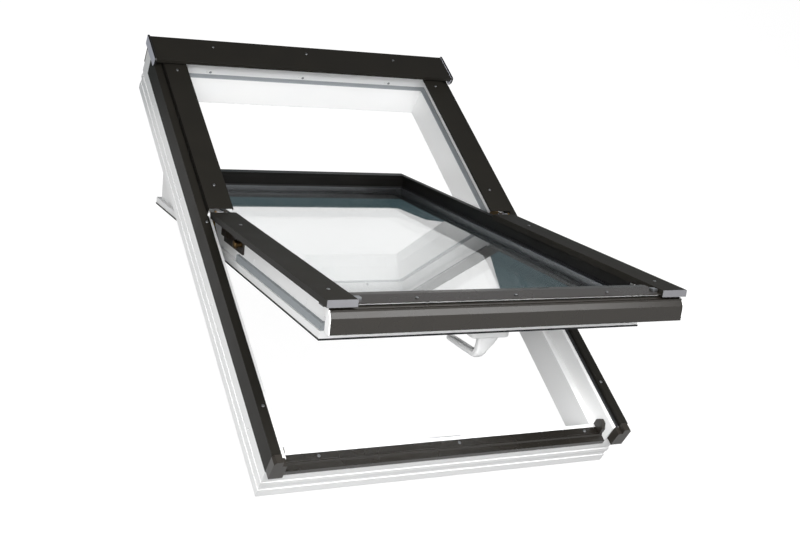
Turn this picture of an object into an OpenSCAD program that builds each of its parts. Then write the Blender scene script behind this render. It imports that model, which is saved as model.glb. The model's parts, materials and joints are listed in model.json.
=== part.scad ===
// Centre-pivot roof window: white hollow frame and sash, dark aluminium claddings, double glazing.
// X is the width, Y runs up the roof slope, Z points outwards. The origin is the middle of the
// room-side face of the frame. Sash pieces are laid out closed and then turned open about the pivot.

/* [Frame] */
// Overall width of the frame
frame_w = 780; // [550:10:1340]
// Overall height of the frame along the slope
frame_h = 1180; // [900:10:1600]
// Width of the frame members at the room side
frame_face = 44; // [40:1:56]
// Height of the frame members up to the shelf
base_h = 74; // [70:1:80]
// Height of the upstand of the jambs and head over the shelf
upstand_h = 56; // [52:1:60]
// Thickness of the upstand on the outer side of the jambs and head
upstand_t = 29; // [26:1:32]
// Width of the seat for the outer gasket on the upstand
seat_w = 14; // [12:1:15]
// Drop of that seat below the top of the jamb
seat_drop = 12; // [9:1:14]
// Wall of the hollow profiles
pvc_wall = 3; // [2:0.5:4]
// Depth of the shallow grooves along the outer faces
groove_depth = 1.5; // [0.5:0.25:2]
// Distance between the fixing holes along each jamb
fixing_pitch = 310; // [150:10:340]
// Radius of the fixing holes
fixing_r = 2.75; // [2:0.25:4]
// Distance of the fixing holes below the shelf
fixing_drop = 16; // [12:1:18]

/* [Cladding] */
// Thickness of the aluminium sheet
sheet_t = 1.2; // [0.8:0.1:1.6]
// Depth of the cladding down the outer side of the frame
cladding_drop = 50; // [40:1:56]
// Height of the side covers over the top of the jambs
cover_rise = 11; // [9:1:14]
// Depth of the hood over the head
hood_depth = 88; // [80:1:110]
// Height of the hood over the top of the jambs
hood_rise = 25; // [22:1:34]
// Depth of the hood's front lip
hood_lip = 9; // [6:1:10]
// Thickness of the plastic end caps
cap_t = 5; // [3:0.5:8]
// Length of the jamb end caps below the sill
jamb_cap_l = 18; // [14:1:26]

/* [Sash] */
// Angle at which the sash stands open
open_angle = 31.7; // [0:0.1:45]
// Distance of the pivot axis above the middle of the frame
pivot_y = 15; // [5:1:30]
// Clearance between the sash and the frame at the sides and the top
sash_gap = 6; // [5:0.5:8]
// Clearance between the sash and the sill
sill_gap = 11; // [10:0.5:14]
// Width of the room-side ledge around the sash
ledge_w = 10; // [6:0.5:10]
// Height of that ledge
ledge_h = 16; // [12:1:18]
// Width of the sash profiles
stile_w = 44; // [40:1:56]
// Depth of the sash from the top of its covers to its room-side face
sash_depth = 99; // [97:1:103]
// Height of the glazing flange of the sash profiles
flange_h = 33; // [32:1:36]
// Outer wall of the sash profiles
stile_wall = 5; // [4:0.5:7]
// Height of the sash walls below the top of the covers
wall_drop = 8.5; // [7.5:0.5:10]
// Length of the bottom nose beyond the sash
nose_l = 87; // [80:1:95]
// Clearance between the nose and the shelf of the sill
nose_gap = 10; // [9:1:14]
// Depth of the fascia in front of the nose
fascia_d = 18; // [16:1:22]
// Height of the fascia
fascia_h = 42.6; // [38:0.1:44]
// Overhang of the fascia beyond the sash at each side
fascia_over = 34; // [20:1:36]

/* [Glazing] */
// Thickness of each pane
pane_t = 4; // [3:1:6]
// Depth of the gap between the panes
pane_gap = 16; // [12:1:18]
// Width of the spacer bar
spacer_w = 6; // [5:0.5:8]
// Depth of the edge seal around the spacer bar
seal_d = 7; // [5:0.5:9]
// Thickness of the outer glazing gasket
outer_gasket_t = 3; // [2:0.25:4]
// Thickness of the inner glazing gasket
inner_gasket_t = 3; // [2:0.25:4]
// Clearance between the glass edge and the sash wall
glass_clear = 3; // [2:0.5:5]

/* [Hinges] */
// Radius of the hinge pins
pin_r = 3; // [2.5:0.25:3.5]
// Running clearance of the hinge pins
pin_clear = 0.05; // [0.02:0.01:0.1]
// Thickness of the hinge plates and arms
hinge_t = 4; // [3:0.5:5]
// Length of the hinge plates along the jamb
hinge_l = 120; // [100:5:125]
// Radius of the hinge eyes
eye_r = 4.5; // [4.25:0.25:5]

/* [Handle] */
// Width of the handle base
base_w = 80; // [60:1:90]
// Depth of the handle base along the sash
base_d = 28; // [24:1:30]
// Thickness of the handle base
base_t = 16; // [9:1:18]
// Length of the grip from the handle axis
grip_l = 112; // [80:1:130]
// Width of the grip
grip_w = 20; // [18:1:26]
// Thickness of the grip
grip_t = 12; // [10:1:16]
// Height of the grip's middle over the handle base
grip_stand = 36; // [34:1:50]
// Width of the neck at the handle base
neck_w = 44; // [30:1:50]
// Depth of the neck along the sash
neck_d = 20; // [16:1:24]
// Sideways offset of the grip from the handle axis
grip_shift = 16; // [0:1:20]
// Offset of the handle axis from the middle of the sash
handle_x = 12; // [0:1:12]
// Radius of the spindle
spindle_r = 4; // [3:0.5:5]
// Travel of the latch bolt when the handle turns
bolt_travel = 20; // [16:1:22]
// Width of the latch bolt
bolt_w = 30; // [20:1:40]
// Thickness of the latch bolt
bolt_t = 6; // [4:0.5:6]

/* [Fasteners] */
// Radius of the screw heads
head_r = 3.5; // [2.5:0.25:4]
// Height of the screw heads
head_t = 1.2; // [0.8:0.1:2]
// Radius of the screw shanks
shank_r = 1.6; // [1.2:0.1:2]
// Length of the screw shanks
shank_l = 9; // [6:0.5:10]
// Distance of the hood screws from the hood's front edge
hood_screw_in = 62; // [50:1:70]
// Distance of the first upper cover screw from the pivot
upper_screw_in = 82; // [70:1:100]
// Distance of the second upper cover screw from the head
upper_screw_end = 60; // [50:1:80]
// Distance of the first jamb screw below the pivot
jamb_screw_in = 20; // [15:1:40]
// Distance of the second jamb screw from the sill end
jamb_screw_end = 110; // [80:1:140]
// Sideways shift of the sill screws from an even spacing
sill_screw_shift = 23; // [0:1:25]
// Distance of the first lower cover screw below the pivot
lower_screw_in = 119; // [115:1:140]
// Distance of the second lower cover screw from the nose
lower_screw_end = 50; // [40:1:70]
// Clearance around the screw shanks and other loose fits
fit_clear = 0.3; // [0.1:0.05:0.4]

/* [Hidden] */
$fn = 48;

// Half sizes of the frame, its clear opening and its upstand
hw = frame_w / 2;
hh = frame_h / 2;
rx = hw - frame_face;
ry = hh - frame_face;
up_x = hw - upstand_t;
up_y = hh - upstand_t;
land_w = upstand_t - seat_w;
jamb_h = base_h + upstand_h;
seat_z = jamb_h - seat_drop;
fixing_z = base_h - fixing_drop;
// Small features of the frame and of the hinges keep to the size of their members
u = frame_face / 44;
h = hinge_l / 120;
groove_low = [base_h * 0.27, base_h * 0.45];
groove_high = [base_h * 0.59, base_h * 0.73];
cut = 1;

// Covers and hood
cover_top = jamb_h + cover_rise;
cover_gap = 2.8;
cover_out = hw - land_w - sheet_t - cover_gap;
hood_top = jamb_h + hood_rise;
hood_front = hh + sheet_t - hood_depth;
cladding_low = jamb_h - cladding_drop;
pivot_z = cover_top - 2;
upper_cover_start = pivot_y + 10;
lower_cover_end = pivot_y - 5.5;

// Sash, closed
ledge_x = rx - sash_gap;
ledge_top = ry - sash_gap;
ledge_low = -(ry - sill_gap);
sash_x = ledge_x - ledge_w;
sash_top = ledge_top - ledge_w;
sash_low = ledge_low + ledge_w;
room_z = cover_top - sash_depth;
ledge_z = room_z + ledge_h;
flange_z = room_z + flange_h;
wall_top = cover_top - wall_drop;
clad_top = wall_top + 1.5;
clad_in = sash_x - 13;
cover_in = clad_in - sheet_t - fit_clear;
lip_low = cover_top - 13;
inner_y = sash_low + stile_wall;
nose_y = sash_low - nose_l;
nose_z = base_h + nose_gap;
fascia_y = nose_y - fascia_d;
nose_top = wall_top - 0.5;
fascia_top = nose_top - 7.4;
fascia_low = fascia_top - fascia_h;
fascia_x = sash_x + fascia_over;
bead_y = nose_y + 37;
bead_top = nose_top + 6;
bead_flat_y = bead_y - 13;
bead_front_y = nose_y - 10;
bead_front_z = nose_top + 1.5;
rim_z = fascia_top + 3;
bead_x = cover_in - 0.5;

// Glazing, closed
glass_low_z = flange_z + inner_gasket_t;
glass_top_z = glass_low_z + 2 * pane_t + pane_gap;
glaze_z = glass_top_z + outer_gasket_t;
glass_x = sash_x - stile_wall - glass_clear;
glass_top = sash_top - stile_wall - glass_clear;
glass_low = inner_y + glass_clear;
lip_t = 1.5;
top_lip_y = sash_top - 39 * u;
low_lip_y = inner_y + 15;

// Hinges, handle and lock
plate_x = up_x - hinge_t;
arm_x = sash_x + 11;
handle_y = sash_low + 12;
lever_gap = fit_clear;
case_y = [sash_low + 4, sash_low + stile_w - 4];
case_z = [room_z + 4, flange_z - 3];
case_x = 45;
case_wall = 2;
bolt_z = ledge_z + 3;
bolt_y = [ledge_low + 2, case_y[1] - case_wall - 1];

// Places of the screws
hood_screws = [for (i = [-1:1]) [i * hw * 0.62, hood_front + hood_screw_in]];
head_screws = [for (i = [-1:1]) i * hw * 0.62];
cover_screw_y = [pivot_y + upper_screw_in, ry - upper_screw_end];
cover_screw_x = (cover_in + cover_out) / 2;
jamb_screw_y = [pivot_y - jamb_screw_in, -hh + jamb_screw_end];
jamb_screw_x = hw - land_w * 0.7;
sill_screws = [for (i = [-1:1]) [i * hw * 0.77 + sill_screw_shift, -hh + 26 * u]];
sash_screw_y = [pivot_y - lower_screw_in, nose_y + lower_screw_end];
bead_screws = [for (i = [-1:1]) [i * sash_x * 0.6, nose_y + 5]];
bracket_l = 20;

// Height of the bead's slope at a place along it
function bead_z(y) = bead_top - (bead_top - bead_front_z) * (bead_flat_y - y) / (bead_flat_y - bead_front_y);

// Colours of the finishes
white = "white";
umber = [0.20, 0.19, 0.17];
black = [0.06, 0.06, 0.06];
grey = [0.55, 0.57, 0.59];
bronze = [0.45, 0.36, 0.22];
steel = [0.75, 0.76, 0.78];

// A box between two corners
module box(low, high) {
    translate(low) cube(high - low);
}

// An outline in X and Z drawn out along Y
module along_y(outline, y_low, y_high) {
    translate([0, y_high, 0]) rotate([90, 0, 0]) linear_extrude(height = y_high - y_low) polygon(outline);
}

// An outline in Y and Z drawn out along X
module along_x(outline, x_low, x_high) {
    translate([x_low, 0, 0]) rotate([90, 0, 90]) linear_extrude(height = x_high - x_low) polygon(outline);
}

// A flat outline in X and Y between two heights
module between(outline, z_low, z_high) {
    translate([0, 0, z_low]) linear_extrude(height = z_high - z_low) polygon(outline);
}

// A rectangular ring between two heights
module ring(x_out, y_out, x_in, y_in, z_low, z_high) {
    difference() {
        box([-x_out, y_out[0], z_low], [x_out, y_out[1], z_high]);
        box([-x_in, y_in[0], z_low - cut], [x_in, y_in[1], z_high + cut]);
    }
}

// The piece and its mirror image on the other side
module both_sides() {
    children();
    mirror([1, 0, 0]) children();
}

// Turns a piece of the closed sash to the open angle
module in_sash() {
    translate([0, pivot_y, pivot_z]) rotate([-open_angle, 0, 0]) translate([0, -pivot_y, -pivot_z]) children();
}

// A screw that stands on the plane z = 0 and points down
module screw() {
    cylinder(r = head_r, h = head_t);
    translate([0, 0, -shank_l]) cylinder(r = shank_r, h = shank_l + head_t / 2);
}

module screw_hole() {
    translate([0, 0, -shank_l - fit_clear]) cylinder(r = shank_r + fit_clear, h = shank_l + 2 * head_t);
}

// Frame profiles

// Plan of one mitred side of the frame, taken in by the wall at its long edges
module mitred_base(inset, ends, z_low, z_high) {
    between([[rx + inset, -ry - inset - ends], [hw - inset, -hh + inset - ends],
        [hw - inset, hh - inset + ends], [rx + inset, ry + inset + ends]], z_low, z_high);
}

module chambers(ends) {
    mid = base_h / 2;
    mitred_base(pvc_wall, ends, pvc_wall, mid - pvc_wall / 2);
    mitred_base(pvc_wall, ends, mid + pvc_wall / 2, base_h - pvc_wall);
}

module side_grooves() {
    for (g = [groove_low, groove_high])
        box([hw - groove_depth, -hh - cut, g[0]], [hw + cut, hh + cut, g[1]]);
}

module right_jamb_body() {
    difference() {
        union() {
            mitred_base(0, 0, 0, base_h);
            box([up_x, -ry, base_h - cut], [hw, ry, base_h + cut]);
            along_y([[up_x, base_h], [hw, base_h], [hw, jamb_h], [hw - land_w, jamb_h],
                [hw - land_w, seat_z], [up_x, seat_z]], -hh, hh);
        }
        chambers(cut);
        box([up_x + pvc_wall, -hh - cut, base_h + pvc_wall], [hw - pvc_wall, hh + cut, seat_z - pvc_wall]);
        side_grooves();
        for (i = [0:3])
            translate([hw - pvc_wall - cut, (i - 1.5) * fixing_pitch + fixing_mid, fixing_z])
                rotate([0, 90, 0]) cylinder(r = fixing_r, h = pvc_wall + 2 * cut);
        for (y = jamb_screw_y)
            translate([jamb_screw_x, y, jamb_h + sheet_t]) screw_hole();
    }
}

// The middle of the row of fixing holes
fixing_mid = -15;

// The same profile laid across the head, as wide as the frame
module cross_member(ends) {
    rotate([0, 0, 90]) between([[ry + ends[0], -rx - ends[0] - ends[1]],
        [hh - ends[0], -hw + ends[0] - ends[1]],
        [hh - ends[0], hw - ends[0] + ends[1]], [ry + ends[0], rx + ends[0] + ends[1]]], ends[2], ends[3]);
}

module cross_chambers() {
    mid = base_h / 2;
    cross_member([pvc_wall, cut, pvc_wall, mid - pvc_wall / 2]);
    cross_member([pvc_wall, cut, mid + pvc_wall / 2, base_h - pvc_wall]);
}

module cross_grooves() {
    for (g = [groove_low, groove_high])
        box([-hw - cut, hh - groove_depth, g[0]], [hw + cut, hh + cut, g[1]]);
}

module frame_head() {
    color(white) difference() {
        union() {
            cross_member([0, 0, 0, base_h]);
            box([-rx, up_y, base_h - cut], [rx, hh, base_h + cut]);
            box([-up_x, up_y, base_h], [up_x, hh, jamb_h]);
        }
        cross_chambers();
        cross_grooves();
        box([-up_x - cut, up_y + pvc_wall, base_h + pvc_wall], [up_x + cut, hh - pvc_wall, jamb_h - pvc_wall]);
        for (x = head_screws)
            translate([x, up_y, base_h + 8]) rotate([90, 0, 0]) screw_hole();
        for (p = hood_screws)
            translate([p[0], p[1], jamb_h]) cylinder(r = shank_r, h = cut);
    }
}

module frame_sill() {
    color(white) difference() {
        mirror([0, 1, 0]) difference() {
            cross_member([0, 0, 0, base_h]);
            cross_chambers();
            cross_grooves();
        }
        for (p = sill_screws)
            translate([p[0], p[1], sill_top]) screw_hole();
        latch_slot();
    }
}

module frame_right_jamb() {
    color(white) right_jamb_body();
}

module frame_left_jamb() {
    color(white) mirror([1, 0, 0]) right_jamb_body();
}

// Hood over the head

module head_hood() {
    color(umber) difference() {
        along_x([[hh, cladding_low], [hh + sheet_t, cladding_low], [hh + sheet_t, hood_top],
            [hood_front, hood_top], [hood_front, hood_top - hood_lip],
            [hood_front + sheet_t, hood_top - hood_lip], [hood_front + sheet_t, hood_top - sheet_t],
            [hh, hood_top - sheet_t]], -hw - sheet_t, hw + sheet_t);
        for (p = hood_screws)
            translate([p[0], p[1], hood_top]) screw_hole();
    }
}

module hood_end_caps() {
    color(grey) both_sides()
        along_x([[hood_front - 2, hood_top - hood_lip - 4], [hood_front + 4, jamb_h + 2],
            [hh + sheet_t + 2, jamb_h + 2], [hh + sheet_t + 2, hood_top + 2],
            [hood_front + 2, hood_top + 2], [hood_front - 2, hood_top - 2]],
            hw + sheet_t, hw + sheet_t + cap_t);
}

module hood_brackets() {
    color(black) for (p = hood_screws)
        difference() {
            box([p[0] - bracket_l, up_y, jamb_h], [p[0] + bracket_l, hh, hood_top - sheet_t]);
            translate([p[0], p[1], hood_top]) screw_hole();
        }
}

// Claddings and covers of the jambs

module right_jamb_strip() {
    difference() {
        along_y([[hw, cladding_low], [hw + sheet_t, cladding_low], [hw + sheet_t, jamb_h + sheet_t],
            [hw - land_w - sheet_t, jamb_h + sheet_t], [hw - land_w - sheet_t, seat_z + 3],
            [hw - land_w, seat_z + 3], [hw - land_w, jamb_h], [hw, jamb_h]], -hh, ry);
        for (y = jamb_screw_y)
            translate([jamb_screw_x, y, jamb_h + sheet_t]) screw_hole();
    }
}

module right_jamb_cladding() {
    color(umber) right_jamb_strip();
}

module left_jamb_cladding() {
    color(umber) mirror([1, 0, 0]) right_jamb_strip();
}

module right_upper_strip() {
    under = cover_top - sheet_t;
    difference() {
        along_y([[clad_in, cover_top - 5], [clad_in + sheet_t, cover_top - 5], [clad_in + sheet_t, under],
            [cover_out - sheet_t, under], [cover_out - sheet_t, seat_z], [cover_out, seat_z],
            [cover_out, cover_top], [clad_in, cover_top]], upper_cover_start, up_y - 20);
        for (y = cover_screw_y)
            translate([cover_screw_x, y, cover_top]) screw_hole();
    }
}

module right_upper_cover() {
    color(umber) right_upper_strip();
}

module left_upper_cover() {
    color(umber) mirror([1, 0, 0]) right_upper_strip();
}

module upper_cover_brackets() {
    color(black) both_sides() for (y = cover_screw_y)
        difference() {
            along_y([[up_x, seat_z], [cover_out - sheet_t, seat_z], [cover_out - sheet_t, cover_top - sheet_t],
                [sash_x + 8, cover_top - sheet_t], [sash_x + 8, cover_top - 12], [up_x, cover_top - 12]],
                y - bracket_l / 2, y + bracket_l / 2);
            translate([cover_screw_x, y, cover_top]) screw_hole();
        }
}

// Sill cladding with a low rib along it
sill_top = base_h + 3 * u;

module sill_cladding() {
    color(umber) difference() {
        along_x([[-hh - sheet_t, base_h - 8 * u], [-hh, base_h - 8 * u], [-hh, base_h], [-hh + 34 * u, base_h],
            [-hh + 34 * u, sill_top], [-hh + 19 * u, sill_top], [-hh + 17 * u, sill_top + 2 * u],
            [-hh + 14 * u, sill_top + 2 * u], [-hh + 12 * u, sill_top - u], [-hh - sheet_t, base_h + 2 * u]],
            -up_x + fit_clear, up_x - fit_clear);
        for (p = sill_screws)
            translate([p[0], p[1], sill_top]) screw_hole();
    }
}

module jamb_end_caps() {
    color(umber) both_sides()
        along_y([[up_x + 3, cladding_low + 4], [hw + sheet_t, cladding_low + 4],
            [hw + sheet_t, jamb_h - 2], [hw + sheet_t - 4, jamb_h + sheet_t + 2],
            [hw - land_w - sheet_t, jamb_h + sheet_t + 2], [hw - land_w - sheet_t, seat_z + 3],
            [up_x + 3, seat_z + 3]], -hh - jamb_cap_l, -hh);
}

module sill_corner_blocks() {
    color(umber) both_sides()
        along_x([[-hh + 15 * u, sill_top + 2 * u], [-hh + 42 * u, sill_top + 2 * u],
            [-hh + 42 * u, base_h + 20 * u], [-hh + 34 * u, base_h + 30 * u],
            [-hh + 23 * u, base_h + 30 * u], [-hh + 15 * u, base_h + 20 * u]], up_x - 8 * u, up_x);
}

// Gaskets of the frame

module frame_gasket() {
    side = 1;
    high = 3;
    color(grey) {
        both_sides()
            box([rx + side, pivot_y + hinge_l / 2 + 5, base_h], [up_x - side, ry + side, base_h + high]);
        box([-up_x + side, ry + side, base_h], [up_x - side, up_y - side, base_h + high]);
    }
}

module jamb_gaskets() {
    outer = hw - land_w - sheet_t - 1;
    wide = 4;
    high = 5;
    color(black) both_sides()
        box([outer - wide, -hh + 2, seat_z], [outer, upper_cover_start - 4, seat_z + high]);
}

// Pivot hinges

module eye(x_low, x_high, r) {
    translate([x_low, pivot_y, pivot_z]) rotate([0, 90, 0]) cylinder(r = r, h = x_high - x_low);
}

module right_plate() {
    low = base_h + 6;
    high = seat_z - 2;
    difference() {
        union() {
            along_x([[pivot_y - hinge_l / 2, low], [pivot_y + hinge_l / 2, low],
                [pivot_y + hinge_l / 2, high - 8 * h], [pivot_y + eye_r + 12 * h, high],
                [pivot_y + eye_r, high + 8 * h], [pivot_y + eye_r, pivot_z], [pivot_y - eye_r, pivot_z],
                [pivot_y - eye_r, high + 8 * h], [pivot_y - eye_r - 12 * h, high],
                [pivot_y - hinge_l / 2, high - 8 * h]], plate_x, up_x);
            eye(plate_x, up_x, eye_r);
        }
        eye(plate_x - cut, up_x + cut, pin_r + pin_clear);
    }
}

module right_hinge_plate() {
    color(bronze) right_plate();
}

module left_hinge_plate() {
    color(bronze) mirror([1, 0, 0]) right_plate();
}

module hinge_pins() {
    color(steel) both_sides() eye(sash_x + hinge_t - 1, up_x, pin_r);
}

// The arm is screwed to the side of the sash and carries a round friction knob
module right_arm() {
    low = flange_z + 2;
    high = wall_top - 6;
    difference() {
        union() {
            along_x([[pivot_y - 116 * h, low], [pivot_y + 5 * h, low], [pivot_y + 5 * h, high - 10 * h],
                [pivot_y - 5 * h, high], [pivot_y - 84 * h, high], [pivot_y - 104 * h, high - 16 * h],
                [pivot_y - 116 * h, high - 16 * h]], sash_x, sash_x + hinge_t);
            along_x([[pivot_y - 34 * h, low + 14], [pivot_y + eye_r, low + 14], [pivot_y + eye_r, pivot_z],
                [pivot_y - eye_r, pivot_z], [pivot_y - 20 * h, high - 12]], sash_x + hinge_t, arm_x);
            eye(sash_x + hinge_t, arm_x, eye_r);
        }
        eye(sash_x, arm_x + cut, pin_r + pin_clear);
    }
}

module right_hinge_arm() {
    color(black) in_sash() right_arm();
}

module left_hinge_arm() {
    color(black) in_sash() mirror([1, 0, 0]) right_arm();
}

module friction_knobs() {
    color(bronze) in_sash() both_sides()
        translate([sash_x + hinge_t, pivot_y - 105 * h, flange_z + 22]) rotate([0, 90, 0])
            cylinder(r = 9 * h, h = 4.5 * hinge_t);
}

// Sash profiles

// Plan of a sash side between its mitres, for the right stile
sash_plan = [[sash_x - stile_w, sash_low + stile_w], [ledge_x, ledge_low], [ledge_x, ledge_top],
    [sash_x - stile_w, sash_top - stile_w]];
// Plan of the top rail, and of the room-side part of the bottom rail
top_plan = [[-sash_x + stile_w, sash_top - stile_w], [sash_x - stile_w, sash_top - stile_w],
    [ledge_x, ledge_top], [-ledge_x, ledge_top]];
low_plan = [[-sash_x + stile_w, sash_low + stile_w], [-ledge_x, ledge_low], [ledge_x, ledge_low],
    [sash_x - stile_w, sash_low + stile_w]];

// Two drain slots pass through the outer wall of each stile
drain_w = 3;
drain_h = 9;
drain_y = [pivot_y - (pivot_y - nose_y) * 0.28, pivot_y - (pivot_y - nose_y) * 0.73];

module right_stile_body() {
    difference() {
        intersection() {
            along_y([[sash_x - stile_w, room_z], [ledge_x, room_z], [ledge_x, ledge_z], [sash_x, ledge_z],
                [sash_x, wall_top], [sash_x - stile_wall, wall_top], [sash_x - stile_wall, flange_z],
                [sash_x - stile_w, flange_z]], ledge_low, ledge_top);
            between(sash_plan, room_z, cover_top);
        }
        box([sash_x - stile_w - cut, ledge_low - cut, flange_z], [ledge_x + cut, inner_y, cover_top]);
        box([sash_x - stile_w + 4, sash_low + stile_w, case_z[0]],
            [sash_x - 4, sash_top - stile_w, case_z[1]]);
        for (y = drain_y)
            box([sash_x - stile_wall - cut, y - drain_w / 2, flange_z + 3],
                [sash_x + cut, y + drain_w / 2, flange_z + 3 + drain_h]);
    }
}

module sash_right_stile() {
    color(white) in_sash() right_stile_body();
}

module sash_left_stile() {
    color(white) in_sash() mirror([1, 0, 0]) right_stile_body();
}

module sash_top_rail() {
    color(white) in_sash() difference() {
        intersection() {
            along_x([[sash_top - stile_w, room_z], [ledge_top, room_z], [ledge_top, ledge_z],
                [sash_top, ledge_z], [sash_top, wall_top], [sash_top - stile_wall, wall_top],
                [sash_top - stile_wall, flange_z], [sash_top - stile_w, flange_z]], -ledge_x, ledge_x);
            between(top_plan, room_z, cover_top);
        }
        box([-sash_x + stile_w, sash_top - stile_w + 4, case_z[0]],
            [sash_x - stile_w, sash_top - 4, case_z[1]]);
    }
}

module sash_bottom_rail() {
    color(white) in_sash() difference() {
        union() {
            intersection() {
                along_x([[ledge_low, room_z], [sash_low + stile_w, room_z], [sash_low + stile_w, flange_z],
                    [sash_low, flange_z], [sash_low, ledge_z], [ledge_low, ledge_z]], -ledge_x, ledge_x);
                between(low_plan, room_z, cover_top);
            }
            along_x([[sash_low, flange_z], [inner_y, flange_z], [inner_y, glaze_z],
                [bead_y, nose_top], [nose_y, nose_top], [nose_y, nose_z], [sash_low, nose_z]],
                -sash_x, sash_x);
        }
        both_sides()
            box([bead_x, nose_y - cut, lip_low - fit_clear], [sash_x + cut, inner_y + cut, cover_top]);
        box([-sash_x + stile_w, case_y[0], case_z[0]], [sash_x - stile_w, case_y[1], case_z[1]]);
        translate([handle_x, handle_y, room_z - cut]) cylinder(r = spindle_r + 2 * fit_clear, h = 4 + 2 * cut);
        box([-bolt_w / 2 - fit_clear, sash_low - cut, bolt_z - fit_clear],
            [bolt_w / 2 + fit_clear, case_y[0] + cut, bolt_z + bolt_t + fit_clear]);
        for (p = bead_screws)
            translate([p[0], p[1], bead_z(p[1] + head_r)]) screw_hole();
    }
}

// Glazing

module outer_pane() {
    color([0.75, 0.85, 0.85, 0.4]) in_sash()
        box([-glass_x, glass_low, glass_top_z - pane_t], [glass_x, glass_top, glass_top_z]);
}

module inner_pane() {
    color([0.75, 0.85, 0.85, 0.4]) in_sash()
        box([-glass_x, glass_low, glass_low_z], [glass_x, glass_top, glass_low_z + pane_t]);
}

module spacer_bar() {
    far = seal_d + spacer_w;
    color(steel) in_sash() ring(glass_x - seal_d, [glass_low + seal_d, glass_top - seal_d],
        glass_x - far, [glass_low + far, glass_top - far], glass_low_z + pane_t, glass_top_z - pane_t);
}

module edge_seal() {
    color(black) in_sash() ring(glass_x, [glass_low, glass_top], glass_x - seal_d,
        [glass_low + seal_d, glass_top - seal_d], glass_low_z + pane_t, glass_top_z - pane_t);
}

module outer_glazing_gasket() {
    side = 3;
    color(black) in_sash() ring(clad_in + side, [low_lip_y - 3 * side, top_lip_y + side],
        clad_in - side, [low_lip_y + side, top_lip_y - side], glass_top_z, glaze_z);
}

module inner_glazing_gasket() {
    side = 8;
    color(black) in_sash() ring(glass_x, [glass_low, glass_top], sash_x - stile_w + side,
        [sash_low + stile_w - side, sash_top - stile_w + side], flange_z, glass_low_z);
}

// Claddings and covers of the sash

module top_rail_cladding() {
    color(umber) in_sash() {
        along_x([[top_lip_y, glaze_z], [top_lip_y + lip_t, glaze_z], [top_lip_y + lip_t, wall_top - 7],
            [top_lip_y + 6.7, wall_top], [sash_top, wall_top], [sash_top, clad_top],
            [top_lip_y + 6, clad_top], [top_lip_y, wall_top - 6.6]], -clad_in, clad_in);
        both_sides()
            box([clad_in - cut, sash_top - stile_wall, wall_top], [sash_x, sash_top, clad_top]);
    }
}

module right_stile_strip() {
    along_y([[clad_in, glaze_z], [clad_in + lip_t, glaze_z], [clad_in + lip_t, wall_top],
        [sash_x, wall_top], [sash_x, clad_top], [clad_in, clad_top]], inner_y, sash_top - stile_wall);
}

module right_stile_cladding() {
    color(umber) in_sash() right_stile_strip();
}

module left_stile_cladding() {
    color(umber) in_sash() mirror([1, 0, 0]) right_stile_strip();
}

// The bottom cladding leads from the glass up to a sloping bead, which overhangs the nose
module bottom_cladding() {
    color(umber) in_sash() difference() {
        along_x([[low_lip_y, glaze_z], [low_lip_y, glaze_z + 2], [inner_y + 1, glaze_z + 2],
            [bead_y + 1, bead_top], [bead_flat_y, bead_top], [bead_front_y, bead_front_z],
            [bead_front_y, nose_top], [bead_y, nose_top], [inner_y, glaze_z]], -bead_x, bead_x);
        for (p = bead_screws)
            translate([p[0], p[1], bead_z(p[1] + head_r)]) screw_hole();
    }
}

// Section of the fascia: an open channel with a chamfer and a stepped rim along its top
fascia_outline = [[nose_y, fascia_low], [fascia_y, fascia_low], [fascia_y, fascia_top - 14.6],
    [fascia_y + 6, fascia_top - 4.8], [fascia_y + 6, fascia_top - 1.8], [fascia_y + 12, fascia_top - 1.8],
    [nose_y - 2, rim_z], [nose_y, rim_z]];
fascia_hollow = [[nose_y + cut, fascia_low + 2], [fascia_y + 2, fascia_low + 2],
    [fascia_y + 2, fascia_top - 15.2], [fascia_y + 8, fascia_top - 5.4], [fascia_y + 8, fascia_top - 3.8],
    [nose_y + cut, fascia_top - 3.8]];

module bottom_fascia() {
    color(umber) in_sash() difference() {
        along_x(fascia_outline, -fascia_x, fascia_x);
        along_x(fascia_hollow, -fascia_x - cut, fascia_x + cut);
    }
}

module fascia_end_caps() {
    color(white) in_sash() both_sides() along_x(fascia_outline, fascia_x, fascia_x + 2);
}

// Each lower cover stands on two webs and ends in a pale plate
cover_end_y = nose_y - 12;
web_x = [clad_in + 4, sash_x - sheet_t];

module right_lower_strip() {
    under = cover_top - sheet_t;
    difference() {
        union() {
            along_y([[cover_in, lip_low], [cover_in + sheet_t, lip_low], [cover_in + sheet_t, under],
                [cover_out - sheet_t, under], [cover_out - sheet_t, lip_low], [cover_out, lip_low],
                [cover_out, cover_top], [cover_in, cover_top]], cover_end_y, lower_cover_end);
            for (x = web_x)
                box([x, cover_end_y, clad_top], [x + sheet_t, lower_cover_end, cover_top - sheet_t / 2]);
        }
        for (y = sash_screw_y)
            translate([cover_screw_x, y, cover_top]) screw_hole();
    }
}

module right_lower_cover() {
    color(umber) in_sash() right_lower_strip();
}

module left_lower_cover() {
    color(umber) in_sash() mirror([1, 0, 0]) right_lower_strip();
}

module cover_end_plates() {
    color(grey) in_sash() both_sides()
        box([cover_in, cover_end_y - 2, lip_low], [cover_out, cover_end_y, cover_top]);
}

module lower_cover_brackets() {
    color(black) in_sash() both_sides() for (y = sash_screw_y)
        difference() {
            box([sash_x, y - bracket_l / 2, cover_top - 28],
                [sash_x + 24, y + bracket_l / 2, cover_top - sheet_t]);
            translate([cover_screw_x, y, cover_top]) screw_hole();
        }
}

module corner_clips() {
    near = nose_y + 2;
    far = nose_y + 14;
    top = bead_z(far) + 3;
    seat = 0.1;
    color(steel) in_sash() both_sides()
        along_x([[near, bead_z(near) + seat], [far, bead_z(far) + seat], [far, top], [near, top]],
            bead_x - 12, bead_x - 1);
}

// Seals of the sash

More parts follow.
